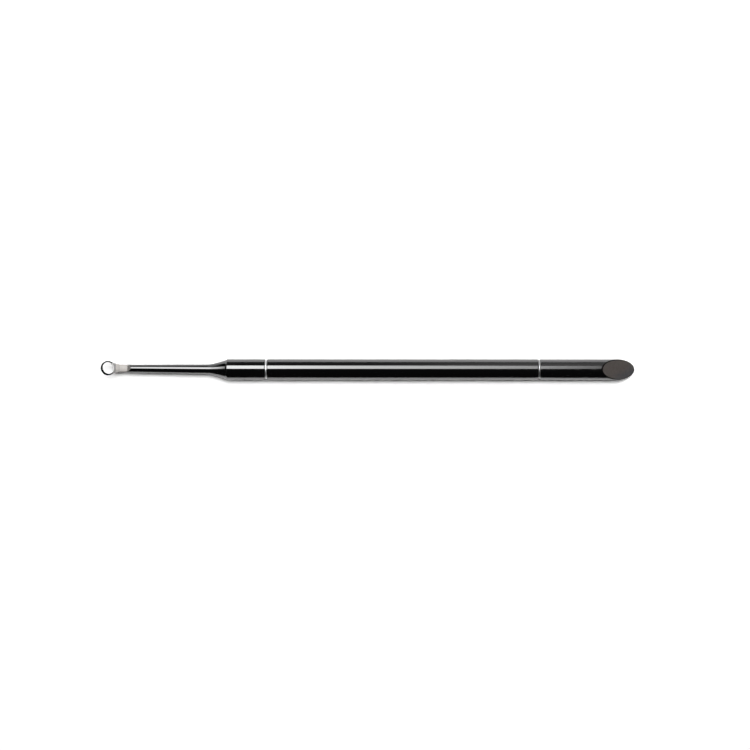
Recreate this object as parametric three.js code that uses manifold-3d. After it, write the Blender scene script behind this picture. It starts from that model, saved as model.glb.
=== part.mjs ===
// Double-ended manicure tool, in millimetres, +Z up. It lies along X on its barrel:
// a ring curette screws into the front of the handle, at -X, and a slant-cut cap
// pulls off the back of it, at +X, and bares a needle.

import * as THREE from "three";
import { mergeVertices } from "three/addons/utils/BufferGeometryUtils.js";
import Module from "manifold-3d";

const wasm = await Module();
wasm.setup();

// Barrel
const BARREL_DIAMETER = 5.6;
const HANDLE_LENGTH = 73.4;
const HANDLE_BORE = 3.4;
const INSERT_DIAMETER = 3.9;
const TRIM_WIDTH = 0.5;
const TRIM_RECESS = 0.03;
const EDGE_CHAMFER = 0.12;

// Neck and ferrule
const FERRULE_LENGTH = 10.35;
const FERRULE_CHAMFER = 0.25;
const FLARE_END_DIAMETER = 4.85;
const FLARE_ANGLE = THREE.MathUtils.degToRad(15.5);
const FLARE_FILLET_RADIUS = 5.6;
const NECK_LENGTH = 20.13;
const NECK_FRONT_DIAMETER = 2.04;
const NECK_REAR_DIAMETER = 2.5;

// Ring curette, with the tilt of its loop and its roll about the axis in degrees
const LOOP_OUTER_DIAMETER = 3.9;
const LOOP_HOLE_DIAMETER = 3.36;
const LOOP_HEIGHT = 0.65;
const LOOP_CHAMFER = 0.06;
const LOOP_TILT = 28;
const HEAD_ROLL = 14;
const WEB_REACH = 2.23;
const WEB_WIDTH = 2.6;
const WEB_THICKNESS = 0.6;
const FOLD_OVERLAP = 0.12;
const SHOULDER_LENGTH = 1.15;
const PADDLE_LENGTH = 3.34;
const PADDLE_WIDTH = 2.06;
const PADDLE_BACK_WIDTH = 1.8;
const PADDLE_THICKNESS = 1;
const RUNOUT_ANGLE = THREE.MathUtils.degToRad(30.4);
const COLLAR_LENGTH = 0.6;
const TANG_DIAMETER = 1.1;
const TANG_LENGTH = 4.5;

// Screw joint at the front
const THREAD_DIAMETER = 3;
const THREAD_PITCH = 0.5;
const INSERT_LENGTH = 6;
const STUD_LENGTH = 5;
const UNDERCUT_LENGTH = 0.4;
const UNDERCUT_DEPTH = 0.05;

// Plug, needle and cap at the back
const PLUG_SEAT_LENGTH = 8;
const SPIGOT_LENGTH = 6;
const NOSE_LENGTH = 2.5;
const NOSE_BASE_DIAMETER = 2.8;
const NOSE_TIP_DIAMETER = 1.5;
const SEAL_SECTION = 0.6;
const SEAL_SETBACK = 2.6;
const NEEDLE_DIAMETER = 0.8;
const NEEDLE_SEAT_DEPTH = 8;
const NEEDLE_REACH = 6.6;
const NEEDLE_TAPER = 4;
const NEEDLE_POINT_DIAMETER = 0.12;
const CAP_LENGTH = 25.92;
const CAP_BORE = 4;
const CAP_BORE_PAST_NEEDLE = 0.2;
const DRILL_POINT_ANGLE = THREE.MathUtils.degToRad(60);
const BEVEL_ANGLE = THREE.MathUtils.degToRad(30);
const TIP_LAND = 0.2;

// Clearances, measured on the radius or along the axis
const PRESS_CLEARANCE = 0.05;
const THREAD_CLEARANCE = 0.1;
const SLIDE_CLEARANCE = 0.1;
const SEAL_CLEARANCE = 0.03;
const GROOVE_CLEARANCE = 0.08;
const BOTTOM_CLEARANCE = 0.1;

// Facets
const BARREL_SIDES = 32;
const THREAD_SIDES = 20;
const FILLET_STEPS = 6;
const SEAL_SIDES = 10;
const LOOP_SIDES = 32;
const CURVE_STEPS = 16;
const MERGE_TOLERANCE = 1e-4;

// Radii worked out from the sizes above
const barrelRadius = BARREL_DIAMETER / 2;
const trimRadius = barrelRadius - TRIM_RECESS;
const insertSeatRadius = INSERT_DIAMETER / 2;
const insertRadius = insertSeatRadius - PRESS_CLEARANCE;
const neckFrontRadius = NECK_FRONT_DIAMETER / 2;
const neckRearRadius = NECK_REAR_DIAMETER / 2;
const flareEndRadius = FLARE_END_DIAMETER / 2;
const tangRadius = TANG_DIAMETER / 2;
const needleRadius = NEEDLE_DIAMETER / 2;
const needleBoreRadius = needleRadius + PRESS_CLEARANCE;
const capBoreRadius = CAP_BORE / 2;
const spigotRadius = capBoreRadius - SLIDE_CLEARANCE;
const sealOuterRadius = capBoreRadius - SEAL_CLEARANCE;
const sealMiddleRadius = sealOuterRadius - SEAL_SECTION / 2;
const grooveRadius = sealOuterRadius - SEAL_SECTION - SEAL_CLEARANCE;

// One pitch of the 60 degree thread: root flat, flank, crest flat, flank
const ROOT_FLAT = 1 / 4;
const CREST_FLAT = 1 / 8;
const flankShare = (1 - ROOT_FLAT - CREST_FLAT) / 2;
const threadDepth = flankShare * THREAD_PITCH * Math.sqrt(3);
const threadCrestRadius = THREAD_DIAMETER / 2;
const threadRootRadius = threadCrestRadius - threadDepth;
const undercutRadius = threadRootRadius - UNDERCUT_DEPTH;

// Stations along the axis, with 0 at the front end of the handle tube
const ferruleBack = -TRIM_WIDTH;
const ferruleFront = ferruleBack - FERRULE_LENGTH;
const flareBack = ferruleFront - FERRULE_CHAMFER;
const filletRise = FLARE_FILLET_RADIUS * (1 - Math.cos(FLARE_ANGLE));
const filletRun = FLARE_FILLET_RADIUS * Math.sin(FLARE_ANGLE);
const flareCone = (flareEndRadius - neckRearRadius - filletRise) / Math.tan(FLARE_ANGLE);
const flareFront = flareBack - flareCone - filletRun;
const neckFront = flareFront - NECK_LENGTH;
const runoutLength = (neckFrontRadius - PADDLE_THICKNESS / 2) / Math.tan(RUNOUT_ANGLE);
const paddleBack = neckFront - COLLAR_LENGTH - runoutLength;
const webFold = paddleBack - PADDLE_LENGTH;
const trimBack = HANDLE_LENGTH + TRIM_WIDTH;
const spigotEnd = trimBack + SPIGOT_LENGTH;
const noseEnd = spigotEnd + NOSE_LENGTH;
const needleEnd = noseEnd + NEEDLE_REACH;
const capEnd = trimBack + CAP_LENGTH;

// Closed geometry as a solid that can be joined and cut
function solidOf(geometry) {
  geometry.deleteAttribute("normal");
  geometry.deleteAttribute("uv");
  const merged = mergeVertices(geometry, MERGE_TOLERANCE);
  const corners = merged.index.array;
  const triVerts = [];
  for (let i = 0; i < corners.length; i += 3) {
    const [a, b, c] = corners.slice(i, i + 3);
    if (a !== b && b !== c && c !== a) {
      triVerts.push(a, b, c);
    }
  }
  const mesh = new wasm.Mesh({
    numProp: 3,
    vertProperties: merged.attributes.position.array,
    triVerts: Uint32Array.from(triVerts),
  });
  return new wasm.Manifold(mesh);
}

function geometryOf(solid) {
  const mesh = solid.getMesh();
  const geometry = new THREE.BufferGeometry();
  geometry.setAttribute("position", new THREE.BufferAttribute(mesh.vertProperties, 3));
  geometry.setIndex(new THREE.BufferAttribute(mesh.triVerts, 1));
  geometry.computeVertexNormals();
  return geometry;
}

// A piece turned about X, from [station, radius] points; a flat faces straight down
function turned(profile) {
  const points = profile.map(([station, radius]) => new THREE.Vector2(radius, station));
  const geometry = new THREE.LatheGeometry(points, BARREL_SIDES, Math.PI / BARREL_SIDES);
  geometry.rotateZ(-Math.PI / 2);
  return solidOf(geometry);
}

// A flat outline in plan, given its thickness evenly above and below Z = 0
function plate(outline, thickness) {
  const geometry = new THREE.ExtrudeGeometry(outline, {
    depth: thickness,
    bevelEnabled: false,
    curveSegments: CURVE_STEPS,
  });
  geometry.translate(0, 0, -thickness / 2);
  return geometry;
}

// A right-handed thread about X. Male and female cut from the same helix, so they
// mesh at rest. Its rows climb one pitch in each turn, and a fan closes each end.
function threadedRod(crestRadius) {
  const rootRadius = crestRadius - threadDepth;
  const pitchProfile = [
    [0, rootRadius],
    [ROOT_FLAT, rootRadius],
    [ROOT_FLAT + flankShare, crestRadius],
    [1 - flankShare, crestRadius],
  ];
  const rowsPerTurn = pitchProfile.length;
  const start = -2 * THREAD_PITCH;
  const turns = Math.ceil(Math.max(INSERT_LENGTH, STUD_LENGTH) / THREAD_PITCH) + 4;
  const lastRow = turns * rowsPerTurn;
  const positions = [];
  for (let column = 0; column <= THREAD_SIDES; column += 1) {
    const turn = column / THREAD_SIDES;
    for (let row = 0; row <= lastRow; row += 1) {
      const [share, radius] = pitchProfile[row % rowsPerTurn];
      const pitches = Math.floor(row / rowsPerTurn) + share + turn;
      const angle = 2 * Math.PI * turn;
      positions.push(start + pitches * THREAD_PITCH, radius * Math.cos(angle), radius * Math.sin(angle));
    }
  }
  const firstTip = positions.length / 3;
  const lastTip = firstTip + 1;
  positions.push(start, 0, 0);
  positions.push(start + (turns + 1) * THREAD_PITCH, 0, 0);

  const point = (column, row) => column * (lastRow + 1) + row;
  const index = [];
  for (let column = 0; column < THREAD_SIDES; column += 1) {
    for (let row = 0; row < lastRow; row += 1) {
      const a = point(column, row);
      const b = point(column + 1, row);
      index.push(a, b, a + 1, b + 1, a + 1, b);
    }
    index.push(firstTip, point(column + 1, 0), point(column, 0));
    index.push(lastTip, point(column, lastRow), point(column + 1, lastRow));
  }
  for (let row = 0; row < rowsPerTurn; row += 1) {
    index.push(firstTip, point(0, row), point(0, row + 1));
    index.push(lastTip, point(THREAD_SIDES, lastRow - row), point(THREAD_SIDES, lastRow - row - 1));
  }
  const geometry = new THREE.BufferGeometry();
  geometry.setAttribute("position", new THREE.Float32BufferAttribute(positions, 3));
  geometry.setIndex(index);
  return solidOf(geometry);
}

// Ring and web: a blank drawn tight round a chamfered disc and a bar at the fold, then bored
function loop() {
  const outerRadius = LOOP_OUTER_DIAMETER / 2;
  const holeRadius = LOOP_HOLE_DIAMETER / 2;
  const half = LOOP_HEIGHT / 2;
  const section = [
    new THREE.Vector2(0, -half),
    new THREE.Vector2(outerRadius - LOOP_CHAMFER, -half),
    new THREE.Vector2(outerRadius, LOOP_CHAMFER - half),
    new THREE.Vector2(outerRadius, half - LOOP_CHAMFER),
    new THREE.Vector2(outerRadius - LOOP_CHAMFER, half),
    new THREE.Vector2(0, half),
  ];
  const disc = new THREE.LatheGeometry(section, LOOP_SIDES);
  disc.rotateX(Math.PI / 2);
  const bar = new THREE.BoxGeometry(FOLD_OVERLAP, WEB_WIDTH, WEB_THICKNESS);
  bar.translate(WEB_REACH + FOLD_OVERLAP / 2, 0, 0);
  const bore = new THREE.CylinderGeometry(holeRadius, holeRadius, 2 * LOOP_HEIGHT, LOOP_SIDES);
  bore.rotateX(Math.PI / 2);
  return solidOf(disc).add(solidOf(bar)).hull().subtract(solidOf(bore));
}

// Plan of the paddle behind the fold, with shoulders that narrow from the web
function paddle() {
  const webHalf = WEB_WIDTH / 2;
  const half = PADDLE_WIDTH / 2;
  const backHalf = PADDLE_BACK_WIDTH / 2;
  const shoulder = webFold + SHOULDER_LENGTH;
  const bend = webFold + SHOULDER_LENGTH / 2;
  const back = paddleBack + runoutLength;
  const outline = new THREE.Shape();
  outline.moveTo(webFold - FOLD_OVERLAP, -webHalf);
  outline.lineTo(webFold, -webHalf);
  outline.quadraticCurveTo(bend, -half, shoulder, -half);
  outline.lineTo(back, -backHalf);
  outline.lineTo(back, backHalf);
  outline.lineTo(shoulder, half);
  outline.quadraticCurveTo(bend, half, webFold, webHalf);
  outline.lineTo(webFold - FOLD_OVERLAP, webHalf);
  outline.closePath();
  return solidOf(plate(outline, NECK_FRONT_DIAMETER));
}

// Round root of the paddle, and the tang
function tipShank() {
  const front = webFold + SHOULDER_LENGTH;
  const back = neckFront + TANG_LENGTH;
  return turned([
    [front, 0],
    [front, neckFrontRadius],
    [neckFront, neckFrontRadius],
    [neckFront, tangRadius],
    [back - EDGE_CHAMFER, tangRadius],
    [back, tangRadius - EDGE_CHAMFER],
    [back, 0],
  ]);
}

// Side view that the paddle and shank are ground to: thin at the fold, thickest at
// the paddle, then a slope above and below that runs out through the round
function groundSide() {
  const thin = WEB_THICKNESS / 2;
  const half = PADDLE_THICKNESS / 2;
  const tall = NECK_FRONT_DIAMETER;
  const lower = [
    [webFold - FOLD_OVERLAP, -thin],
    [webFold, -thin],
    [webFold + SHOULDER_LENGTH, -half],
    [paddleBack, -half],
    [paddleBack + (tall - half) / Math.tan(RUNOUT_ANGLE), -tall],
    [neckFront + 2 * TANG_LENGTH, -tall],
  ];
  const upper = lower.map(([station, height]) => [station, -height]).reverse();
  const outline = new THREE.Shape();
  outline.setFromPoints([...lower, ...upper].map(([station, height]) => new THREE.Vector2(station, height)));
  const geometry = plate(outline, 2 * tall);
  geometry.rotateX(Math.PI / 2);
  return solidOf(geometry);
}

// The loop lifts away from the paddle at the fold, and the whole tip is rolled
// about the axis as it lies in the photograph
function loopTip() {
  const lifted = loop().translate(-WEB_REACH, 0, 0).rotate(0, LOOP_TILT, 0).translate(webFold, 0, 0);
  return tipShank().add(paddle()).intersect(groundSide()).add(lifted).rotate(-HEAD_ROLL, 0, 0);
}

// Tapered neck, filleted flare and ferrule, with the stud behind it
function neck() {
  const socketRadius = tangRadius + PRESS_CLEARANCE;
  const socketEnd = neckFront + TANG_LENGTH + BOTTOM_CLEARANCE;
  const profile = [
    [socketEnd, 0],
    [socketEnd, socketRadius],
    [neckFront, socketRadius],
    [neckFront, neckFrontRadius],
  ];
  for (let step = 0; step <= FILLET_STEPS; step += 1) {
    const angle = (FLARE_ANGLE * step) / FILLET_STEPS;
    const station = flareFront + FLARE_FILLET_RADIUS * Math.sin(angle);
    profile.push([station, neckRearRadius + FLARE_FILLET_RADIUS * (1 - Math.cos(angle))]);
  }
  const threadFront = UNDERCUT_LENGTH;
  const taper = threadDepth + THREAD_CLEARANCE;
  profile.push(
    [flareBack, flareEndRadius],
    [ferruleFront, barrelRadius],
    [ferruleBack - EDGE_CHAMFER, barrelRadius],
    [ferruleBack, barrelRadius - EDGE_CHAMFER],
    [ferruleBack, undercutRadius],
    [threadFront + taper, undercutRadius],
    [threadFront + taper, 0],
  );
  const envelope = turned([
    [threadFront, 0],
    [threadFront, threadRootRadius],
    [threadFront + taper, threadRootRadius + taper],
    [STUD_LENGTH - taper, threadRootRadius + taper],
    [STUD_LENGTH, threadRootRadius],
    [STUD_LENGTH, 0],
  ]);
  return turned(profile).add(threadedRod(threadCrestRadius).intersect(envelope));
}

// Thin washer between two barrel sections
function trimRing(front, holeRadius) {
  const back = front + TRIM_WIDTH;
  return turned([
    [front, holeRadius],
    [front, trimRadius],
    [back, trimRadius],
    [back, holeRadius],
    [front, holeRadius],
  ]);
}

// Brass bush with the female thread and a lead-in at its mouth
function frontInsert() {
  const femaleCrest = threadCrestRadius + THREAD_CLEARANCE;
  const mouth = femaleCrest + EDGE_CHAMFER;
  const bush = turned([
    [0, 0],
    [0, insertRadius],
    [INSERT_LENGTH - EDGE_CHAMFER, insertRadius],
    [INSERT_LENGTH, insertRadius - EDGE_CHAMFER],
    [INSERT_LENGTH, 0],
  ]);
  const leadIn = turned([
    [-EDGE_CHAMFER, 0],
    [-EDGE_CHAMFER, mouth + EDGE_CHAMFER],
    [mouth, 0],
  ]);
  return bush.subtract(threadedRod(femaleCrest)).subtract(leadIn);
}

// Barrel tube, bored through and counterbored at each end for its fittings
function handleTube() {
  const boreRadius = HANDLE_BORE / 2;
  const plugFront = HANDLE_LENGTH - PLUG_SEAT_LENGTH;
  return turned([
    [0, insertSeatRadius],
    [0, barrelRadius - EDGE_CHAMFER],
    [EDGE_CHAMFER, barrelRadius],
    [HANDLE_LENGTH - EDGE_CHAMFER, barrelRadius],
    [HANDLE_LENGTH, barrelRadius - EDGE_CHAMFER],
    [HANDLE_LENGTH, insertSeatRadius],
    [plugFront, insertSeatRadius],
    [plugFront, boreRadius],
    [INSERT_LENGTH, boreRadius],
    [INSERT_LENGTH, insertSeatRadius],
    [0, insertSeatRadius],
  ]);
}

// Brass plug: seat in the tube, spigot with the seal's groove, nose for the needle
function rearPlug() {
  const plugFront = HANDLE_LENGTH - PLUG_SEAT_LENGTH;
  const seal = trimBack + SEAL_SETBACK;
  const grooveHalf = SEAL_SECTION / 2 + GROOVE_CLEARANCE;
  const needleHole = noseEnd - NEEDLE_SEAT_DEPTH - BOTTOM_CLEARANCE;
  return turned([
    [plugFront, 0],
    [plugFront, insertRadius - EDGE_CHAMFER],
    [plugFront + EDGE_CHAMFER, insertRadius],
    [HANDLE_LENGTH, insertRadius],
    [HANDLE_LENGTH, spigotRadius],
    [seal - grooveHalf, spigotRadius],
    [seal - grooveHalf, grooveRadius],
    [seal + grooveHalf, grooveRadius],
    [seal + grooveHalf, spigotRadius],
    [spigotEnd - EDGE_CHAMFER, spigotRadius],
    [spigotEnd, spigotRadius - EDGE_CHAMFER],
    [spigotEnd, NOSE_BASE_DIAMETER / 2],
    [noseEnd, NOSE_TIP_DIAMETER / 2],
    [noseEnd, needleBoreRadius],
    [needleHole, needleBoreRadius],
    [needleHole, 0],
  ]);
}

function capSeal() {
  const centre = trimBack + SEAL_SETBACK;
  const profile = [];
  for (let side = 0; side < SEAL_SIDES; side += 1) {
    const angle = (2 * Math.PI * side) / SEAL_SIDES;
    const along = (SEAL_SECTION / 2) * Math.cos(angle);
    const outwards = (SEAL_SECTION / 2) * Math.sin(angle);
    profile.push([centre - along, sealMiddleRadius + outwards]);
  }
  profile.push(profile[0]);
  return turned(profile);
}

function needle() {
  const back = noseEnd - NEEDLE_SEAT_DEPTH;
  return turned([
    [back, 0],
    [back, needleRadius],
    [needleEnd - NEEDLE_TAPER, needleRadius],
    [needleEnd, NEEDLE_POINT_DIAMETER / 2],
    [needleEnd, 0],
  ]);
}

// Drilled cap, its end cut off at a slant that leaves a narrow blunt tip below
function cap() {
  const shoulder = needleEnd + CAP_BORE_PAST_NEEDLE;
  const body = turned([
    [shoulder + capBoreRadius / Math.tan(DRILL_POINT_ANGLE), 0],
    [shoulder, capBoreRadius],
    [trimBack + EDGE_CHAMFER, capBoreRadius],
    [trimBack, capBoreRadius + EDGE_CHAMFER],
    [trimBack, barrelRadius - EDGE_CHAMFER],
    [trimBack + EDGE_CHAMFER, barrelRadius],
    [capEnd, barrelRadius],
    [capEnd, 0],
  ]);
  const size = 2 * (CAP_LENGTH + BARREL_DIAMETER);
  const slant = new THREE.BoxGeometry(size, size, size);
  slant.translate(0, 0, size / 2);
  slant.rotateY(BEVEL_ANGLE);
  slant.translate(capEnd, 0, TIP_LAND - barrelRadius);
  return body.subtract(solidOf(slant));
}

function finish(color, roughness, metalness) {
  return new THREE.MeshStandardMaterial({ color, roughness, metalness, flatShading: true });
}

const blackCoat = finish(0x0b0b0c, 0.2, 0.4);
const brightSteel = finish(0xc6c3bf, 0.35, 1);
const brightRing = finish(0xdadadb, 0.25, 1);
const brass = finish(0xb08a48, 0.35, 1);
const blackRubber = finish(0x161616, 0.8, 0);

const trimHoleRadius = spigotRadius + PRESS_CLEARANCE;
const studHoleRadius = threadCrestRadius + THREAD_CLEARANCE;
const pieces = [
  ["loop_tip", loopTip(), brightSteel],
  ["neck", neck(), blackCoat],
  ["front_trim_ring", trimRing(ferruleBack, studHoleRadius), brightRing],
  ["front_insert", frontInsert(), brass],
  ["handle_tube", handleTube(), blackCoat],
  ["rear_plug", rearPlug(), brass],
  ["rear_trim_ring", trimRing(HANDLE_LENGTH, trimHoleRadius), brightRing],
  ["cap_o_ring", capSeal(), blackRubber],
  ["needle", needle(), brightSteel],
  ["cap", cap(), blackCoat],
];

const tool = new THREE.Group();
for (const [name, solid, material] of pieces) {
  const mesh = new THREE.Mesh(geometryOf(solid), material);
  mesh.name = name;
  tool.add(mesh);
}

// The barrel rests on Z = 0, with the tool's box centred over the origin
const box = new THREE.Box3().setFromObject(tool);
tool.position.set(-(box.min.x + box.max.x) / 2, 0, -box.min.z);

export default tool;
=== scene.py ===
import math

import bmesh
import bpy
from mathutils import Matrix, Vector


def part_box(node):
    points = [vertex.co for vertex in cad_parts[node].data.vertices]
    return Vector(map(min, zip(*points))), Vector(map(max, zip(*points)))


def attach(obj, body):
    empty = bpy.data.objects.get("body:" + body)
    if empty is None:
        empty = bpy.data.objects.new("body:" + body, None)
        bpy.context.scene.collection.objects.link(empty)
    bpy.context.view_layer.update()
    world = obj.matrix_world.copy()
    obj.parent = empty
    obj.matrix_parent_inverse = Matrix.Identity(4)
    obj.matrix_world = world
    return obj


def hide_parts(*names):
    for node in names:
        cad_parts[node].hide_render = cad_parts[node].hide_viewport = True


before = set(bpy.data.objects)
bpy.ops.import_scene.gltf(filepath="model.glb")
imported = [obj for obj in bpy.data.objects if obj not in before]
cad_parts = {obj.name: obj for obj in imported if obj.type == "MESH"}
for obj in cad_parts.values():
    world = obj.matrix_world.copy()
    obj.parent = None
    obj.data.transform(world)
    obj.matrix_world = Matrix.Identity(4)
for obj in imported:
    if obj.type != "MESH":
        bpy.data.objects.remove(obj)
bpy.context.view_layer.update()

MM = 0.001

# How finely round shapes are cut
TURN_STEPS = 128
RING_STEPS = 96
THREAD_STEPS = 48
FILLET_STEPS = 16
SEAL_STEPS = 24
PLATE_RIM_STEPS = 2
SLANT_RIM_STEPS = 5

# What tells points, edges and faces apart
WELD = 1e-7
SHARP = math.radians(15)
THREAD_SHARP = math.radians(30)
PLATE_CORNER = math.radians(45)
LEVEL_COSINE = 0.5
SLANT_COSINE = 0.9999

# Sizes that the frame's boxes don't give
FERRULE_LENGTH = 10.35 * MM
FERRULE_SLOPE = 0.25 * MM
FLARE_END_RADIUS = 2.56 * MM
FLARE_LENGTH = 5.0 * MM
FLARE_ANGLE = math.radians(15.5)
FLARE_HOLLOW = math.radians(2.2)
FLARE_FILLET = 5.6 * MM
NECK_FRONT_RADIUS = 1.08 * MM
NECK_REAR_RADIUS = 1.31 * MM
NECK_BEND = math.radians(0.45)
COLLAR_LENGTH = 0.6 * MM
RUNOUT_ANGLE = math.radians(30.4)
PADDLE_LENGTH = 3.2 * MM
PADDLE_THICKNESS = 1.0 * MM
PADDLE_HALF = 1.03 * MM
PADDLE_BACK_HALF = 0.9 * MM
SHOULDER_LENGTH = 1.15 * MM
SHOULDER_HOLLOW = 0.07 * MM
WEB_HALF = 1.3 * MM
WEB_REACH = 2.27 * MM
WEB_SEAT = 1.82 * MM
WEB_THICKNESS = 0.6 * MM
RING_RADIUS = 1.95 * MM
RING_HOLE = 1.61 * MM
RING_WEB = 1.15 * MM
RING_HALF_HEIGHT = 0.325 * MM
RING_TILT = math.radians(28)
RING_SKEW = math.radians(5.4)
HEAD_ROLL = math.radians(14)
TANG_RADIUS = 0.55 * MM
THREAD_PITCH = 0.5 * MM
THREAD_CREST = 1.5 * MM
THREAD_ROOT_SHARE = 0.25
THREAD_CREST_SHARE = 0.125
THREAD_UNDERCUT = 0.4 * MM
THREAD_SINK = 0.03 * MM
STUD_NECK = 0.05 * MM
BAND_HOLE = 1.6 * MM
BAND_SINK = 0.12 * MM
BAND_GAP = 0.06 * MM
FITTING_SEAT = 1.95 * MM
FITTING_RADIUS = 1.9 * MM
BARREL_BORE = 1.7 * MM
BUSH_LENGTH = 6 * MM
SPIGOT_RADIUS = 1.9 * MM
SPIGOT_LENGTH = 6 * MM
GROOVE_RADIUS = 1.34 * MM
GROOVE_MARGIN = 0.08 * MM
NOSE_BASE = 1.4 * MM
NOSE_TIP = 0.75 * MM
NEEDLE_RADIUS = 0.4 * MM
NEEDLE_TAPER = 4 * MM
NEEDLE_POINT = 0.05 * MM
SEAT_CLEARANCE = 0.05 * MM
BOTTOM_CLEARANCE = 0.1 * MM
CAP_BORE = 2 * MM
CAP_PAST_NEEDLE = 0.2 * MM
DRILL_POINT = math.radians(60)
SLANT_ANGLE = math.radians(30.3)
SLANT_RIM = 0.2 * MM
EDGE_ROUND = 0.2 * MM
FINE_ROUND = 0.05 * MM

# Colours of the finishes, with painted shade in the rear band's, paddle's and web's, and a painted
# highlight in the web's
COAT_BLACK = (0.0015, 0.0015, 0.0017, 1)
COAT_RUBBED = (0.06, 0.058, 0.056, 1)
SLANT_WARM = (0.07, 0.06, 0.055, 1)
SLANT_COOL = (0.046, 0.048, 0.055, 1)
SLANT_GRAIN = (0.09, 0.08, 0.074, 1)
FRONT_BAND_BRIGHT = (0.9, 0.9, 0.91, 1)
FRONT_BAND_DULL = (0.7, 0.7, 0.7, 1)
# Rear band: the front band's metal painted darker, as painted shade for the light falling off towards
# the cap
REAR_BAND_SHADED = (0.6, 0.6, 0.61, 1)
REAR_BAND_SHADED_DULL = (0.42, 0.42, 0.42, 1)
STUD_BRIGHT = (0.52, 0.51, 0.5, 1)
STUD_DULL = (0.3, 0.3, 0.3, 1)
BRASS_BRIGHT = (0.72, 0.5, 0.2, 1)
BRASS_DULL = (0.4, 0.27, 0.12, 1)
PADDLE_BRIGHT = (0.34, 0.325, 0.31, 1)
PADDLE_DULL_AND_SHADED = (0.15, 0.143, 0.137, 1)
# Web: the paddle's ground steel painted far brighter, a painted highlight on the web and the ring's
# inner wall
WEB_PAINTED_BRIGHT = (0.96, 0.95, 0.94, 1)
WEB_PAINTED_DULL_AND_SHADED = (0.5, 0.49, 0.48, 1)
RING_DARK = (0.026, 0.027, 0.038, 1)
RING_RUBBED = (0.06, 0.059, 0.064, 1)
RING_EDGE_TINT = (0.25, 0.25, 0.3, 1)
NEEDLE_BRIGHT = (0.4, 0.4, 0.4, 1)
NEEDLE_DULL = (0.3, 0.3, 0.31, 1)
RUBBER_BLACK = (0.016, 0.016, 0.016, 1)
RUBBER_BLOOM = (0.05, 0.05, 0.049, 1)

# Gloss of the coats, and the depth of the marks in each finish
COAT_IOR = 2.0
SLANT_IOR = 1.45
COAT_RELIEF = 0.0008 * MM
SLANT_RELIEF = 0.006 * MM
LATHE_RELIEF = 0.0025 * MM
GRINDING_RELIEF = 0.002 * MM
RING_RELIEF = 0.0015 * MM
POLISH_RELIEF = 0.012 * MM
RUBBER_RELIEF = 0.004 * MM

# Where the finishes change, in millimetres: stations, or distances from an edge
HANDLED_FROM = 5
HANDLED_TO = 60
RUBBED_FROM = 0.16
RUBBED_TO = 0.02
COOL_BEFORE_END = 3.5
COOL_PAST_END = 2.5
# Across the paddle and web, in Y: where the painted shade starts, and where it is full
UNSHADED_SIDE = 0.9
SHADED_SIDE = -0.7


def ends(node):
    """Front and back stations of a CAD node along the tool."""
    low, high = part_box(node)
    return low.x, high.x


def half_height(node):
    """Radius of a round CAD node, flat to flat."""
    low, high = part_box(node)
    return (high.z - low.z) / 2


# Stations and radii that the frame gives
barrel_radius = half_height("handle_tube")
axis_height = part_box("handle_tube")[0].z + barrel_radius
band_radius = half_height("front_trim_ring") - BAND_SINK
seal_radius = half_height("cap_o_ring")
neck_front, stud_end = ends("neck")
tang_end = ends("loop_tip")[1]
front_band_front = ends("front_trim_ring")[0]
barrel_front, barrel_back = ends("handle_tube")
rear_band_back = ends("rear_trim_ring")[1]
plug_front, nose_end = ends("rear_plug")
seal_front, seal_back = ends("cap_o_ring")
needle_root, needle_end = ends("needle")
cap_mouth, cap_end = ends("cap")

# Stations worked out from those
ferrule_front = front_band_front - FERRULE_LENGTH
flare_back = ferrule_front - FERRULE_SLOPE
flare_front = flare_back - FLARE_LENGTH
runout_length = (NECK_FRONT_RADIUS - PADDLE_THICKNESS / 2) / math.tan(RUNOUT_ANGLE)
paddle_back = neck_front - COLLAR_LENGTH - runout_length
fold = paddle_back - PADDLE_LENGTH
spigot_end = rear_band_back + SPIGOT_LENGTH
seal_middle = (seal_front + seal_back) / 2
seal_section = (seal_back - seal_front) / 2


class Value:
    """One shader socket. Arithmetic on it adds Math nodes."""

    def __init__(self, shader, socket):
        self.shader = shader
        self.socket = socket

    def output(self, name):
        """Another output of the same node."""
        return Value(self.shader, self.socket.node.outputs[name])

    def math(self, operation, *terms):
        return self.shader.node("ShaderNodeMath", {"operation": operation}, dict(enumerate(terms)))

    def __add__(self, other):
        return self.math("ADD", self, other)

    __radd__ = __add__

    def __sub__(self, other):
        return self.math("SUBTRACT", self, other)

    def __rsub__(self, other):
        return self.math("SUBTRACT", other, self)

    def __mul__(self, other):
        return self.math("MULTIPLY", self, other)

    __rmul__ = __mul__

    def __abs__(self):
        return self.math("ABSOLUTE", self)

    def least(self, other):
        return self.math("MINIMUM", self, other)

    def most(self, other):
        return self.math("MAXIMUM", self, other)

    def step(self, low, high):
        """Smooth rise from 0 at low to 1 at high; low above high makes it fall."""
        if low > high:
            return 1 - self.step(high, low)
        sockets = {"Value": self, "From Min": low, "From Max": high}
        return self.shader.node("ShaderNodeMapRange", {"interpolation_type": "SMOOTHSTEP"}, sockets)


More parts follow.
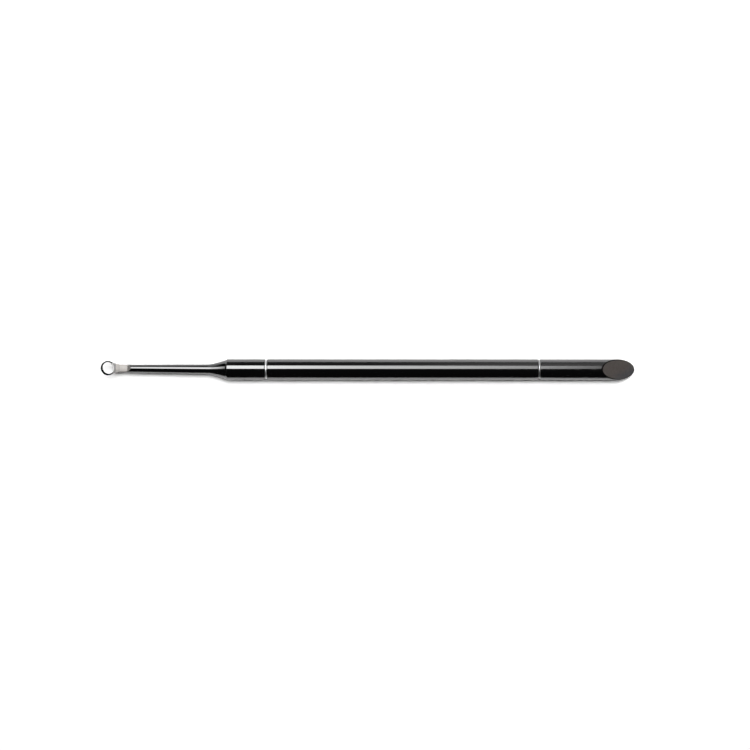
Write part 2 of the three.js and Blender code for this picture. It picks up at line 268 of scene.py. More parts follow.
class Shader:
    """Builds the nodes of one tree."""

    def __init__(self, tree):
        self.tree = tree
        tree.nodes.clear()

    def node(self, kind, settings=None, sockets=None, output=0):
        made = self.tree.nodes.new(kind)
        for name, value in (settings or {}).items():
            if name == "stops":
                self.set_stops(made.color_ramp.elements, value)
            else:
                setattr(made, name, value)
        for name, value in (sockets or {}).items():
            if isinstance(value, Value):
                self.tree.links.new(value.socket, made.inputs[name])
            else:
                made.inputs[name].default_value = value
        return Value(self, made.outputs[output] if made.outputs else None)

    def set_stops(self, elements, stops):
        while len(elements) < len(stops):
            elements.new(1)
        for element, (position, colour) in zip(elements, stops):
            element.position = position
            element.color = colour

    def place(self):
        """Object coordinates in millimetres."""
        place = self.node("ShaderNodeTexCoord").output("Object")
        return self.node("ShaderNodeVectorMath", {"operation": "SCALE"}, {0: place, "Scale": 1 / MM})

    def stretched(self, place, factors):
        return self.node("ShaderNodeVectorMath", {"operation": "MULTIPLY"}, {0: place, 1: factors})

    def split(self, place):
        """A point's X. Its other outputs are the point's Y and Z."""
        return self.node("ShaderNodeSeparateXYZ", None, {0: place})

    def noise(self, place, scale, detail=2, roughness=0.5):
        sockets = {"Vector": place, "Scale": scale, "Detail": detail, "Roughness": roughness}
        return self.node("ShaderNodeTexNoise", None, sockets)

    def mix(self, amount, first, second):
        return self.node("ShaderNodeMix", {"data_type": "RGBA"}, {0: amount, 6: first, 7: second}, 2)

    def bump(self, height, depth):
        return self.node("ShaderNodeBump", None, {"Strength": 1, "Distance": depth, "Height": height})

    def principled(self, sockets):
        surface = self.node("ShaderNodeBsdfPrincipled", None, sockets)
        self.node("ShaderNodeOutputMaterial", None, {"Surface": surface})


def grey(level):
    return (level, level, level, 1)


def new_material(name):
    made = bpy.data.materials.new(name)
    made.use_nodes = True
    return made, Shader(made.node_tree)


def gloss_black(name, edges):
    """Hard black coat: faint turning marks, a haze of handling, and edges rubbed a little grey."""
    made, shader = new_material(name)
    place = shader.place()
    along = shader.split(place)
    haze = shader.noise(shader.stretched(place, (0.25, 1, 1)), 0.6, 4)
    marks = shader.noise(shader.stretched(place, (9, 0.05, 0.05)), 1, 3, 0.7)
    specks = shader.noise(place, 14, 2).step(0.68, 0.76)
    patches = shader.noise(shader.stretched(place, (0.6, 1.5, 1.5)), 1, 4, 0.6).step(0.35, 0.65)
    handled = along.step(HANDLED_FROM, HANDLED_TO) * (0.4 + patches)
    nearest = abs(along - edges[0] / MM)
    for edge in edges[1:]:
        nearest = nearest.least(abs(along - edge / MM))
    rubbed = nearest.step(RUBBED_FROM, RUBBED_TO) * shader.noise(place, 5, 3).step(0.5, 0.7)
    shader.principled({
        "Base Color": shader.mix(rubbed * 0.6, COAT_BLACK, COAT_RUBBED),
        "Roughness": 0.035 + haze * 0.06 + handled * 0.09 + rubbed * 0.2 + specks * 0.06,
        "IOR": COAT_IOR,
        "Normal": shader.bump(marks * 0.5 + haze * 0.3 + specks * 0.4, COAT_RELIEF),
    })
    return made


def slant_matte():
    """Matte coat on the ground slant face: fine mottling over grinding lines."""
    made, shader = new_material("matte_slant")
    place = shader.place()
    along = shader.split(place)
    mottle = shader.noise(place, 1.6, 4, 0.6)
    grain = shader.noise(shader.stretched(place, (2.2, 1.1, 2.2)), 1, 3, 0.7).step(0.3, 0.7)
    lines = shader.noise(shader.stretched(place, (11, 0.35, 11)), 1, 3, 0.65)
    cool = along - along.output("Y") * 1.6 + mottle * 3
    cool = cool.step(cap_end / MM - COOL_BEFORE_END, cap_end / MM + COOL_PAST_END)
    colour = shader.mix(cool, SLANT_WARM, SLANT_COOL)
    colour = shader.mix(grain * 0.55, colour, SLANT_GRAIN)
    shader.principled({
        "Base Color": colour,
        "Roughness": 0.5 + mottle * 0.2,
        "IOR": SLANT_IOR,
        "Normal": shader.bump(lines + mottle * 0.6, SLANT_RELIEF),
    })
    return made


def turned_metal(name, colour, dull, roughness, tarnish):
    """Metal off the lathe: rings of fine tool marks, with a patchy film over them."""
    made, shader = new_material(name)
    place = shader.place()
    marks = shader.noise(shader.stretched(place, (26, 0.1, 0.1)), 1, 3, 0.7)
    film = shader.noise(place, 1.3, 4, 0.6).step(0.42, 0.75)
    shader.principled({
        "Base Color": shader.mix(film * tarnish, colour, dull),
        "Metallic": 1.0,
        "Roughness": roughness + marks * 0.12 + film * tarnish * 0.2,
        "Normal": shader.bump(marks, LATHE_RELIEF),
    })
    return made


def ground_steel(name, colour, dull):
    """Flat-ground steel: satin, with grinding lines across the blade, duller grinding passes, and
    painted shade darkening it towards the -Y side.
    """
    made, shader = new_material(name)
    place = shader.place()
    lines = shader.noise(shader.stretched(place, (24, 1.2, 6)), 1, 4, 0.7)
    passes = shader.noise(shader.stretched(place, (3.5, 0.5, 1)), 1, 2)
    cloud = shader.noise(place, 1.4, 3)
    # Painted shade: the steel darkens from the +Y side towards the -Y side
    painted_shade_side = (shader.split(place).output("Y") + cloud * 0.6).step(UNSHADED_SIDE, SHADED_SIDE)
    shader.principled({
        "Base Color": shader.mix(passes * 0.4 + painted_shade_side * 0.6, colour, dull),
        "Metallic": 1.0,
        "Roughness": 0.45 + lines * 0.12 + cloud * 0.1,
        "Normal": shader.bump(lines + passes * 0.6, GRINDING_RELIEF),
    })
    return made


def polished_steel():
    """Bright steel with hairline scratches and a slight waviness."""
    made, shader = new_material("polished_steel")
    place = shader.place()
    wave = shader.noise(place, 1.1, 2)
    hairs = shader.noise(shader.stretched(place, (2, 18, 18)), 1, 2).step(0.6, 0.75)
    shader.principled({
        "Base Color": shader.mix(wave * 0.5, NEEDLE_BRIGHT, NEEDLE_DULL),
        "Metallic": 1.0,
        "Roughness": 0.14 + wave * 0.08 + hairs * 0.1,
        "Normal": shader.bump(wave + hairs * 0.05, POLISH_RELIEF),
    })
    return made


def dark_steel():
    """Ring steel coloured nearly black with a blue cast, with brighter rubbed patches."""
    made, shader = new_material("dark_ring_steel")
    place = shader.place()
    patches = shader.noise(place, 1.7, 3, 0.6).step(0.45, 0.8)
    lines = shader.noise(shader.stretched(place, (2, 2, 22)), 1, 3, 0.6)
    shader.principled({
        "Base Color": shader.mix(patches * 0.6, RING_DARK, RING_RUBBED),
        "Metallic": 1.0,
        "Specular Tint": RING_EDGE_TINT,
        "Roughness": 0.14 + patches * 0.08 + lines * 0.08,
        "Normal": shader.bump(lines, RING_RELIEF),
    })
    return made


def seal_rubber():
    """Black rubber with a dusty bloom and a fine moulded grain."""
    made, shader = new_material("seal_rubber")
    place = shader.place()
    grain = shader.noise(place, 22, 3, 0.6)
    bloom = shader.noise(place, 2.4, 3).step(0.45, 0.8)
    shader.principled({
        "Base Color": shader.mix(bloom * 0.5, RUBBER_BLACK, RUBBER_BLOOM),
        "Roughness": 0.5 + bloom * 0.25 + grain * 0.08,
        "Normal": shader.bump(grain, RUBBER_RELIEF),
    })
    return made


def spun(points, axis, centre, steps):
    """A closed shell spun from a run of points about an axis."""
    shape = bmesh.new()
    verts = [shape.verts.new(point) for point in points]
    edges = [shape.edges.new(pair) for pair in zip(verts, verts[1:])]
    bmesh.ops.spin(
        shape, geom=verts + edges, cent=centre, axis=axis, angle=math.tau, steps=steps, use_merge=True,
    )
    bmesh.ops.remove_doubles(shape, verts=shape.verts, dist=WELD)
    bmesh.ops.recalc_face_normals(shape, faces=shape.faces)
    return shape


def turned(profile):
    """Spins (station, radius) points about the tool's axis."""
    points = [(station, 0, axis_height + radius) for station, radius in profile]
    return spun(points, (1, 0, 0), (0, 0, axis_height), TURN_STEPS)


def soften(shape, width, edges=None, segments=3):
    """Rounds the given edges, or every sharp one."""
    if edges is None:
        edges = [edge for edge in shape.edges if edge.calc_face_angle(0) > SHARP]
    bmesh.ops.bevel(
        shape, geom=edges, offset=width, segments=segments, profile=0.5,
        affect="EDGES", material=-1, clamp_overlap=True,
    )


def cut_off(shape, point, normal):
    """Takes away what lies on the normal's side of a plane and closes the cut."""
    everything = shape.verts[:] + shape.edges[:] + shape.faces[:]
    cut = bmesh.ops.bisect_plane(
        shape, geom=everything, dist=WELD, plane_co=point, plane_no=normal, clear_outer=True,
    )
    rim = [item for item in cut["geom_cut"] if isinstance(item, bmesh.types.BMEdge)]
    filled = bmesh.ops.edgeloop_fill(shape, edges=rim)
    bmesh.ops.recalc_face_normals(shape, faces=shape.faces)
    return rim, filled["faces"]


def loose_object(shape, finishes):
    mesh = bpy.data.meshes.new("loose")
    shape.to_mesh(mesh)
    shape.free()
    for finish in finishes:
        mesh.materials.append(finish)
    made = bpy.data.objects.new("loose", mesh)
    bpy.context.scene.collection.objects.link(made)
    return made


def combined(first, second, operation, finishes):
    """Union or intersection of two closed shapes, which keep their faces' finishes."""
    kept = loose_object(first, finishes)
    tool = loose_object(second, finishes)
    change = kept.modifiers.new("combine", "BOOLEAN")
    change.operation = operation
    change.solver = "EXACT"
    change.object = tool
    shape = bmesh.new()
    shape.from_object(kept, bpy.context.evaluated_depsgraph_get())
    for used in (kept, tool):
        mesh = used.data
        bpy.data.objects.remove(used)
        bpy.data.meshes.remove(mesh)
    return shape


def add_piece(name, shape, body, finishes, node):
    """Turns a shape into a finished object that stands for a CAD node."""
    for face in shape.faces:
        face.smooth = True
    piece = loose_object(shape, finishes)
    piece.name = name
    piece.data.name = name
    normals = piece.modifiers.new("even_normals", "WEIGHTED_NORMAL")
    normals.keep_sharp = True
    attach(piece, body)
    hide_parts(node)


def tipped_up(shape, verts):
    """Tips part of the curette up at the fold, a little askew, and puts all of it at its station."""
    turn = Matrix.Rotation(RING_TILT, 3, "Y") @ Matrix.Rotation(RING_SKEW, 3, "Z")
    bmesh.ops.rotate(shape, cent=(0, 0, 0), matrix=turn, verts=verts)
    bmesh.ops.translate(shape, vec=(fold, 0, axis_height), verts=shape.verts)


def curette_ring(web_index, ring_index):
    """The ring: a band with a flat top and bottom, its corners just broken."""
    section = [
        (RING_HOLE, -RING_HALF_HEIGHT),
        (RING_RADIUS, -RING_HALF_HEIGHT),
        (RING_RADIUS, RING_HALF_HEIGHT),
        (RING_HOLE, RING_HALF_HEIGHT),
        (RING_HOLE, -RING_HALF_HEIGHT),
    ]
    centre = (-WEB_REACH, 0, 0)
    points = [(radius - WEB_REACH, 0, height) for radius, height in section]
    shape = spun(points, (0, 0, 1), centre, RING_STEPS)
    soften(shape, FINE_ROUND / 2)
    for face in shape.faces:
        middle = face.calc_center_median() - Vector(centre)
        is_inner = math.hypot(middle.x, middle.y) < RING_HOLE + WELD
        # The inner wall and the side towards the web take the web's steel, which is painted brighter
        # as a painted highlight
        face.material_index = web_index if is_inner or middle.x > RING_WEB else ring_index
    tipped_up(shape, shape.verts)
    return shape


def is_upright(edge):
    """Whether an edge of the flat plate runs straight up."""
    return (edge.verts[0].co - edge.verts[1].co).xy.length < WELD


def curette_plate(paddle_index, web_index):
    """Web, shoulders and paddle: one plate, thinned at the web, hollowed and bent up at the fold."""
    corner = math.atan2(WEB_HALF, WEB_REACH)
    tangent = corner + math.acos(RING_RADIUS / math.hypot(WEB_HALF, WEB_REACH))
    upper = [
        (RING_RADIUS * math.cos(tangent) - WEB_REACH, RING_RADIUS * math.sin(tangent)),
        (0, WEB_HALF),
        (SHOULDER_LENGTH, PADDLE_HALF),
        (PADDLE_LENGTH + runout_length, PADDLE_BACK_HALF),
    ]
    lower = [(x, -y) for x, y in reversed(upper)]
    seat_steps = RING_STEPS // 4
    seat = []
    for step in range(seat_steps + 1):
        angle = tangent * (2 * step / seat_steps - 1)
        seat.append((WEB_SEAT * math.cos(angle) - WEB_REACH, WEB_SEAT * math.sin(angle)))
    shape = bmesh.new()
    outline = upper + lower + seat
    bottom = shape.faces.new([shape.verts.new((x, y, -PADDLE_THICKNESS / 2)) for x, y in outline])
    lifted = bmesh.ops.extrude_face_region(shape, geom=[bottom], use_keep_orig=True)
    risen = [item for item in lifted["geom"] if isinstance(item, bmesh.types.BMVert)]
    bmesh.ops.translate(shape, vec=(0, 0, PADDLE_THICKNESS), verts=risen)
    bmesh.ops.recalc_face_normals(shape, faces=shape.faces)
    for station in (0, SHOULDER_LENGTH):
        everything = shape.verts[:] + shape.edges[:] + shape.faces[:]
        bmesh.ops.bisect_plane(
            shape, geom=everything, dist=WELD, plane_co=(station, 0, 0), plane_no=(1, 0, 0),
        )
    thin = [vert for vert in shape.verts if vert.co.x < WELD]
    bmesh.ops.scale(shape, vec=(1, 1, WEB_THICKNESS / PADDLE_THICKNESS), verts=thin)
    shape.normal_update()
    flats = [face for face in shape.faces if abs(face.normal.z) > LEVEL_COSINE]
    sharp = [edge for edge in shape.edges if edge.calc_face_angle(0) > PLATE_CORNER]
    rims = [edge for edge in sharp if not is_upright(edge)]
    shoulders = [face for face in flats if 0 < face.calc_center_median().x < SHOULDER_LENGTH]
    bmesh.ops.poke(shape, faces=shoulders, offset=-SHOULDER_HOLLOW)
    soften(shape, FINE_ROUND, rims, PLATE_RIM_STEPS)
    for face in shape.faces:
        face.material_index = web_index if face.calc_center_median().x < 0 else paddle_index
    tipped_up(shape, [vert for vert in shape.verts if vert.co.x < -WELD])
    return shape


def curette_shank(ground_index, coat_index):
    """Round root of the paddle, ground away by a slope above and below, with the tang behind."""
    shape = turned([
        (paddle_back - FINE_ROUND, 0),
        (paddle_back - FINE_ROUND, NECK_FRONT_RADIUS),
        (neck_front, NECK_FRONT_RADIUS),
        (neck_front, TANG_RADIUS),
        (tang_end - EDGE_ROUND, TANG_RADIUS),
        (tang_end, TANG_RADIUS - EDGE_ROUND),
        (tang_end, 0),
    ])
    for face in shape.faces:
        face.material_index = coat_index
    for side in (1, -1):
        start = (paddle_back, 0, axis_height + side * PADDLE_THICKNESS / 2)
        slope = (-math.sin(RUNOUT_ANGLE), 0, side * math.cos(RUNOUT_ANGLE))
        for face in cut_off(shape, start, slope)[1]:
            face.material_index = ground_index
    return shape


def bend_head(shape):
    """Bends the head a little at the end of its flare, as use does."""
    ahead = [vert for vert in shape.verts if vert.co.x < flare_back]
    turn = Matrix.Rotation(-NECK_BEND, 3, "Z")
    bmesh.ops.rotate(shape, cent=(flare_back, 0, axis_height), matrix=turn, verts=ahead)


def make_curette(paddle, web, ring, coat):
    """Ring, plate and shank as one piece of steel."""
    finishes = [paddle, web, ring, coat]
    shape = combined(curette_plate(0, 1), curette_ring(1, 2), "UNION", finishes)
    shape = combined(shape, curette_shank(0, 3), "UNION", finishes)
    roll = Matrix.Rotation(-HEAD_ROLL, 3, "X")
    bmesh.ops.rotate(shape, cent=(0, 0, axis_height), matrix=roll, verts=shape.verts)
    bend_head(shape)
    for edge in shape.edges:
        edge.smooth = edge.calc_face_angle(0) < SHARP
    add_piece("ring_curette", shape, "head", finishes, "loop_tip")


def is_outside(vert):
    """Whether a point lies on the outside of the ferrule, barrel or cap."""
    return math.hypot(vert.co.y, vert.co.z - axis_height) > FLARE_END_RADIUS - WELD


def outer_rims(shape):
    """Sharp edges round the outside of the ferrule, barrel or cap."""
    sharp = [edge for edge in shape.edges if edge.calc_face_angle(0) > SHARP]
    return [edge for edge in sharp if all(is_outside(vert) for vert in edge.verts)]


def thread_ridge():
    """One helical ridge, in step with the bush's female thread."""
    flank = (1 - THREAD_ROOT_SHARE - THREAD_CREST_SHARE) / 2
    root = THREAD_CREST - flank * THREAD_PITCH * math.sqrt(3)
    first = barrel_front + THREAD_PITCH
    section = [
        (THREAD_ROOT_SHARE, root - THREAD_SINK),
        (THREAD_ROOT_SHARE, root),
        (THREAD_ROOT_SHARE + flank, THREAD_CREST),
        (1 - flank, THREAD_CREST),
        (1, root),
        (1, root - THREAD_SINK),
    ]
    shape = bmesh.new()
    points = [(first + share * THREAD_PITCH, radius, axis_height) for share, radius in section]
    start = shape.faces.new([shape.verts.new(point) for point in points])
    turns = math.floor((stud_end - first) / THREAD_PITCH) - 1
    bmesh.ops.spin(
        shape, geom=[start, *start.edges, *start.verts], cent=(0, 0, axis_height), axis=(1, 0, 0),
        dvec=(THREAD_PITCH / THREAD_STEPS, 0, 0), angle=math.tau * turns, steps=THREAD_STEPS * turns,
    )
    bmesh.ops.recalc_face_normals(shape, faces=shape.faces)
    return shape, root


def flare_curve(start, end):
    """Points from start to end, hollowed slightly so that the flare steepens towards its end."""
    run = end[0] - start[0]
    rise = end[1] - start[1]
    points = []
    for step in range(FILLET_STEPS + 1):
        share = step / FILLET_STEPS
        hollow = run * math.tan(FLARE_HOLLOW) * share * (1 - share)
        points.append((start[0] + run * share, start[1] + rise * share - hollow))
    return points


def make_neck(coat, steel):
    """Tapered neck, flare and ferrule in black, with the bare threaded stud behind."""
    ridge, root = thread_ridge()
    socket_end = tang_end + BOTTOM_CLEARANCE
    profile = [
        (socket_end, 0),
        (socket_end, TANG_RADIUS + SEAT_CLEARANCE),
        (neck_front, TANG_RADIUS + SEAT_CLEARANCE),
        (neck_front, NECK_FRONT_RADIUS),
    ]
    for step in range(FILLET_STEPS + 1):
        angle = FLARE_ANGLE * step / FILLET_STEPS
        rise = FLARE_FILLET * (1 - math.cos(angle))
        profile.append((flare_front + FLARE_FILLET * math.sin(angle), NECK_REAR_RADIUS + rise))
    profile += flare_curve(profile.pop(), (flare_back, FLARE_END_RADIUS))
    profile += [
        (ferrule_front, barrel_radius),
        (front_band_front, barrel_radius),
        (front_band_front, root - STUD_NECK),
        (barrel_front + THREAD_UNDERCUT, root - STUD_NECK),
        (barrel_front + THREAD_UNDERCUT, root),
        (stud_end - EDGE_ROUND, root),
        (stud_end, root - EDGE_ROUND),
        (stud_end, 0),
    ]
    shape = turned(profile)
    soften(shape, EDGE_ROUND, outer_rims(shape))
    finishes = [coat, steel]
    lead = THREAD_CREST - root
    envelope = turned([
        (barrel_front + THREAD_UNDERCUT, 0),
        (barrel_front + THREAD_UNDERCUT, root),
        (barrel_front + THREAD_UNDERCUT + 2 * lead, THREAD_CREST + lead),
        (stud_end - 2 * lead, THREAD_CREST + lead),
        (stud_end - EDGE_ROUND, root),
        (stud_end - EDGE_ROUND, 0),
    ])
    shape = combined(shape, combined(ridge, envelope, "INTERSECT", finishes), "UNION", finishes)
    for face in shape.faces:
        face.material_index = int(face.calc_center_median().x > front_band_front)
    bend_head(shape)
    for edge in shape.edges:
        edge.smooth = edge.calc_face_angle(0) < THREAD_SHARP
    add_piece("black_neck", shape, "head", finishes, "neck")


def make_band(name, hole, metal, body, node):
    """Thin bright ring between two lengths of barrel."""
    front, back = ends(node)
    front += BAND_GAP
    back -= BAND_GAP
    section = [(front, hole), (front, band_radius), (back, band_radius), (back, hole), (front, hole)]
    shape = turned(section)
    soften(shape, FINE_ROUND)
    add_piece(name, shape, body, [metal], node)


def make_barrel(coat):
    """Barrel tube, counterbored at each end for its brass fittings."""
    bush_end = barrel_front + BUSH_LENGTH
    shape = turned([
        (barrel_front, FITTING_SEAT),
        (barrel_front, barrel_radius),
        (barrel_back, barrel_radius),
        (barrel_back, FITTING_SEAT),
        (plug_front, FITTING_SEAT),
        (plug_front, BARREL_BORE),
        (bush_end, BARREL_BORE),
        (bush_end, FITTING_SEAT),
        (barrel_front, FITTING_SEAT),
    ])
    soften(shape, EDGE_ROUND, outer_rims(shape))
    add_piece("barrel", shape, "handle", [coat], "handle_tube")


def make_plug(brass):
    """Brass plug: seat in the barrel, spigot with the seal's groove, and the needle's nose."""
    groove_half = seal_section + GROOVE_MARGIN
    needle_bore = NEEDLE_RADIUS + SEAT_CLEARANCE
    shape = turned([
        (plug_front, 0),
        (plug_front, FITTING_RADIUS),
        (barrel_back, FITTING_RADIUS),
        (barrel_back, SPIGOT_RADIUS - FINE_ROUND),
        (rear_band_back, SPIGOT_RADIUS - FINE_ROUND),
        (rear_band_back + FINE_ROUND, SPIGOT_RADIUS),
        (seal_middle - groove_half, SPIGOT_RADIUS),
        (seal_middle - groove_half, GROOVE_RADIUS),
        (seal_middle + groove_half, GROOVE_RADIUS),
        (seal_middle + groove_half, SPIGOT_RADIUS),
        (spigot_end, SPIGOT_RADIUS),
        (spigot_end, NOSE_BASE),
        (nose_end, NOSE_TIP),
        (nose_end, needle_bore),
        (needle_root - BOTTOM_CLEARANCE, needle_bore),
        (needle_root - BOTTOM_CLEARANCE, 0),
    ])
    soften(shape, FINE_ROUND)
    add_piece("brass_spigot", shape, "handle", [brass], "rear_plug")


def make_seal(rubber):
    """O-ring in the spigot's groove."""
    middle = seal_radius - seal_section
    profile = []
    for step in range(SEAL_STEPS + 1):
        angle = math.tau * step / SEAL_STEPS
        station = seal_middle - seal_section * math.cos(angle)
        profile.append((station, middle + seal_section * math.sin(angle)))
    add_piece("cap_seal_ring", turned(profile), "cap_seal", [rubber], "cap_o_ring")


def make_needle(steel):
    """Needle pressed into the spigot's nose, ground to a point."""
    shape = turned([
        (needle_root, 0),
        (needle_root, NEEDLE_RADIUS),
        (needle_end - NEEDLE_TAPER, NEEDLE_RADIUS),
        (needle_end, NEEDLE_POINT),
        (needle_end, 0),
    ])
    add_piece("needle_point", shape, "handle", [steel], "needle")


def make_cap(coat, matte):
    """Drilled cap with its end cut off at a slant and the rim of the cut rounded over."""
    slant_tip = cap_end + SLANT_RIM * math.cos(SLANT_ANGLE)
    drill_end = needle_end + CAP_PAST_NEEDLE
    shape = turned([
        (drill_end + CAP_BORE / math.tan(DRILL_POINT), 0),
        (drill_end, CAP_BORE),
        (cap_mouth, CAP_BORE),
        (cap_mouth, barrel_radius),
        (slant_tip, barrel_radius),
        (slant_tip, 0),
    ])
    mouth = [edge for edge in outer_rims(shape) if edge.verts[0].co.x < cap_mouth + WELD]
    soften(shape, EDGE_ROUND, mouth)
    slant = Vector((math.sin(SLANT_ANGLE), 0, math.cos(SLANT_ANGLE)))
    rim = cut_off(shape, (slant_tip, 0, axis_height - barrel_radius + WELD), slant)[0]
    soften(shape, SLANT_RIM, rim, SLANT_RIM_STEPS)
    for face in shape.faces:
        face.material_index = int(face.normal.dot(slant) > SLANT_COSINE)
    add_piece("slant_cap", shape, "cap", [coat, matte], "cap")


def make_pieces():
    """Every finish, and the pieces in order from the ring to the cap."""
    neck_coat = gloss_black("black_neck_coat", [ferrule_front, front_band_front])
    barrel_coat = gloss_black("black_barrel_coat", [barrel_front, barrel_back, cap_mouth])
    front_metal = turned_metal(
        "bright_cut_band", FRONT_BAND_BRIGHT, FRONT_BAND_DULL, roughness=0.4, tarnish=0.3,
    )
    # The rear band's metal is painted darker than the front band's: painted shade where the light
    # falls off towards the cap
    shaded_rear_metal = turned_metal(
        "shaded_cut_band", REAR_BAND_SHADED, REAR_BAND_SHADED_DULL, roughness=0.36, tarnish=0.4,
    )
    stud_metal = turned_metal("bare_stud", STUD_BRIGHT, STUD_DULL, roughness=0.3, tarnish=0.5)
    brass = turned_metal("turned_brass", BRASS_BRIGHT, BRASS_DULL, roughness=0.28, tarnish=0.6)
    polished = polished_steel()
    paddle = ground_steel("ground_paddle", PADDLE_BRIGHT, PADDLE_DULL_AND_SHADED)
    # The web's copy of the ground steel is painted far brighter than the paddle's: a painted highlight
    web = ground_steel("ground_web_painted_highlight", WEB_PAINTED_BRIGHT, WEB_PAINTED_DULL_AND_SHADED)
    make_curette(paddle, web, dark_steel(), neck_coat)
    make_neck(neck_coat, stud_metal)
    make_band("front_band", BAND_HOLE, front_metal, "front_washer", "front_trim_ring")
    make_barrel(barrel_coat)
    make_band("rear_band", SPIGOT_RADIUS, shaded_rear_metal, "handle", "rear_trim_ring")
    make_plug(brass)
    make_seal(seal_rubber())
    make_needle(polished)
    make_cap(barrel_coat, slant_matte())
    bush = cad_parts["front_insert"]
    bush.data.materials.clear()
    bush.data.materials.append(brass)


# Camera: straight above, as far away as the photograph's slight perspective asks
CAMERA_DISTANCE = 515 * MM
CAMERA_OFFSET = (1.75 * MM, -1.51 * MM)
CAMERA_ROLL = math.radians(0.03)
VIEW_WIDTH = 203.25 * MM
SENSOR_WIDTH = 36
NEAREST_SEEN = 10 * MM

# Studio: a panel just behind the camera lights the tool, with a little fill from each end
KEY_LEAN = math.radians(15)
KEY_SIZE = (500 * MM, 280 * MM)
KEY_RADIANCE = 9.3
FILL_DISTANCE = 700 * MM
FILL_LEAN = math.radians(45)
FILL_SIZE = (400 * MM, 250 * MM)
FILL_RADIANCE = 0.5

# Softbox with a wing on its left, and a low card, that show as reflections
PANEL_DISTANCE = 600 * MM
SOFTBOX_LEAN = math.radians(25)
SOFTBOX_CENTRE = -8 * MM
SOFTBOX_SIZE = (305 * MM, 385 * MM)
SOFTBOX_RADIANCE = 7.7
SOFTBOX_FADE = [(0, 0.9), (0.28, 1), (0.47, 0.66), (0.67, 0.49), (0.87, 0.31), (0.97, 0.12), (1, 0.05)]
WING_CENTRE = -400 * MM
WING_SIZE = (480 * MM, 385 * MM)
WING_RADIANCE = 7.2
WING_FADE = [(0, 0.05), (0.17, 0.2), (0.32, 0.6), (0.41, 0.75), (0.6, 0.85), (0.83, 1), (1, 1)]
CARD_LEAN = math.radians(66)
CARD_CENTRE = 0
CARD_SIZE = (800 * MM, 360 * MM)
CARD_RADIANCE = 0.8
CARD_FADE = [(0, 1), (0.34, 1), (0.39, 0.05), (0.5, 0.12), (0.6, 0.5), (1, 0.5)]

# Floor, a black flag that only reflections show, and the world
FLOOR_SIZE = 4.0
FLOOR_COLOUR = 0.93
FLOOR_SEEN = 1.25
FLOOR_LIT = 220 * MM
FLOOR_FADED = 420 * MM
FLAG_DISTANCE = 17 * MM
FLAG_SIZE = 1.2
FLAG_LIFT = 0.1 * MM
FLAG_COLOUR = 0.004
AMBIENT = 0.01
BACKDROP = 0.9


def make_camera():
    lens = bpy.data.cameras.new("camera")
    lens.sensor_width = SENSOR_WIDTH
    lens.lens = SENSOR_WIDTH * CAMERA_DISTANCE / VIEW_WIDTH
    lens.clip_start = NEAREST_SEEN
    camera = bpy.data.objects.new("camera", lens)
    camera.location = (*CAMERA_OFFSET, axis_height + CAMERA_DISTANCE)
    camera.rotation_euler = (0, 0, CAMERA_ROLL)
    bpy.context.scene.collection.objects.link(camera)
    bpy.context.scene.camera = camera


def add_panel(name, place, size, radiance, fade=None):
    """An area light, shaded along its length where a fade is given."""
    light = bpy.data.lights.new(name, "AREA")
    light.shape = "RECTANGLE"
    light.size, light.size_y = size
    light.energy = math.pi * size[0] * size[1] * radiance
    panel = bpy.data.objects.new(name, light)
    panel.location = place
    bpy.context.scene.collection.objects.link(panel)
    if fade:
        light.use_nodes = True
        shader = Shader(light.node_tree)
        across = shader.split(shader.node("ShaderNodeNewGeometry").output("Parametric"))
        stops = [(position, grey(level)) for position, level in fade]
        shade = shader.node("ShaderNodeValToRGB", {"stops": stops}, {"Fac": 1 - across})
        glow = shader.node("ShaderNodeEmission", None, {"Color": shade, "Strength": 1})
        shader.node("ShaderNodeOutputLight", None, {"Surface": glow})
    return panel


def face_tool(panel, out):
    """Turns a panel so that it shines against a direction."""
    panel.rotation_mode = "QUATERNION"
    panel.rotation_quaternion = out.to_track_quat("Z", "Y")


def add_back_panel(name, lean, centre, size, radiance, fade=None):
    """A panel behind the tool, leaning over it."""
    out = Vector((0, math.sin(lean), math.cos(lean)))
    place = Vector((centre, 0, axis_height)) + out * PANEL_DISTANCE
    panel = add_panel(name, place, size, radiance, fade)
    face_tool(panel, out)
    return panel


def make_lights():
    """Panels that only light the tool, and panels that only show as reflections."""
    lights = [add_back_panel("key", KEY_LEAN, 0, KEY_SIZE, KEY_RADIANCE)]
    for side in (-1, 1):
        out = Vector((side * math.sin(FILL_LEAN), 0, math.cos(FILL_LEAN)))
        fill = add_panel("fill", out * FILL_DISTANCE, FILL_SIZE, FILL_RADIANCE)
        face_tool(fill, out)
        lights.append(fill)
    for panel in lights:
        panel.visible_glossy = False
    softbox = add_back_panel(
        "softbox", SOFTBOX_LEAN, SOFTBOX_CENTRE, SOFTBOX_SIZE, SOFTBOX_RADIANCE, SOFTBOX_FADE,
    )
    wing = add_back_panel("wing", SOFTBOX_LEAN, WING_CENTRE, WING_SIZE, WING_RADIANCE, WING_FADE)
    card = add_back_panel("low_card", CARD_LEAN, CARD_CENTRE, CARD_SIZE, CARD_RADIANCE, CARD_FADE)
    for panel in (softbox, wing, card):
        panel.visible_diffuse = False


def seen_directly(shader):
    """1 for what the camera sees, straight, mirrored or through glass."""
    path = shader.node("ShaderNodeLightPath")
    seen = path.output("Is Camera Ray").most(path.output("Is Glossy Ray"))
    return seen.most(path.output("Is Transmission Ray"))


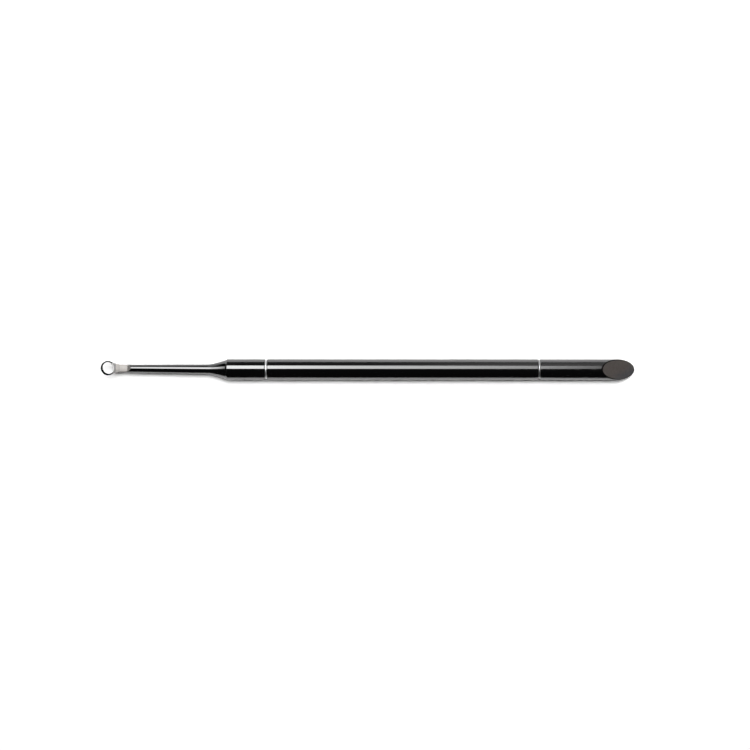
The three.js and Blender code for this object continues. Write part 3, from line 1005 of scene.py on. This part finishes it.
def make_floor():
    """A pale floor, paler where it is seen, that fades into the backdrop further out."""
    shape = bmesh.new()
    bmesh.ops.create_grid(shape, x_segments=1, y_segments=1, size=FLOOR_SIZE / 2)
    made, shader = new_material("pale_floor")
    plain = shader.node("ShaderNodeBsdfDiffuse", None, {"Color": grey(FLOOR_COLOUR)})
    bright = shader.node("ShaderNodeBsdfDiffuse", None, {"Color": grey(FLOOR_SEEN)})
    seen = seen_directly(shader)
    lit = shader.node("ShaderNodeMixShader", None, {0: seen, 1: plain, 2: bright})
    distance = shader.node("ShaderNodeVectorMath", {"operation": "LENGTH"}, {0: shader.place()})
    far = distance.output("Value").step(FLOOR_LIT / MM, FLOOR_FADED / MM)
    pale = shader.node("ShaderNodeEmission", None, {"Color": grey(1), "Strength": BACKDROP})
    surface = shader.node("ShaderNodeMixShader", None, {0: seen * far, 1: lit, 2: pale})
    shader.node("ShaderNodeOutputMaterial", None, {"Surface": surface})
    floor = loose_object(shape, [made])
    floor.name = "floor"


def make_flag():
    """A black flag on the floor in front of the tool that shows only in reflections."""
    shape = bmesh.new()
    bmesh.ops.create_grid(shape, x_segments=1, y_segments=1, size=FLAG_SIZE / 2)
    bmesh.ops.translate(shape, vec=(0, -FLAG_DISTANCE - FLAG_SIZE / 2, FLAG_LIFT), verts=shape.verts)
    made, shader = new_material("black_flag")
    surface = shader.node("ShaderNodeBsdfDiffuse", None, {"Color": grey(FLAG_COLOUR)})
    shader.node("ShaderNodeOutputMaterial", None, {"Surface": surface})
    flag = loose_object(shape, [made])
    flag.name = "black_flag"
    flag.visible_camera = False
    flag.visible_diffuse = False
    flag.visible_transmission = False
    flag.visible_shadow = False


def make_world():
    """A dim studio that looks pale to the camera."""
    world = bpy.data.worlds.new("studio")
    world.use_nodes = True
    bpy.context.scene.world = world
    shader = Shader(world.node_tree)
    camera_ray = shader.node("ShaderNodeLightPath").output("Is Camera Ray")
    dim = shader.node("ShaderNodeBackground", None, {"Color": grey(1), "Strength": AMBIENT})
    pale = shader.node("ShaderNodeBackground", None, {"Color": grey(1), "Strength": BACKDROP})
    sky = shader.node("ShaderNodeMixShader", None, {0: camera_ray, 1: dim, 2: pale})
    shader.node("ShaderNodeOutputWorld", None, {"Surface": sky})


make_pieces()
make_camera()
make_lights()
make_floor()
make_flag()
make_world()
bpy.context.scene.view_settings.view_transform = "Standard"
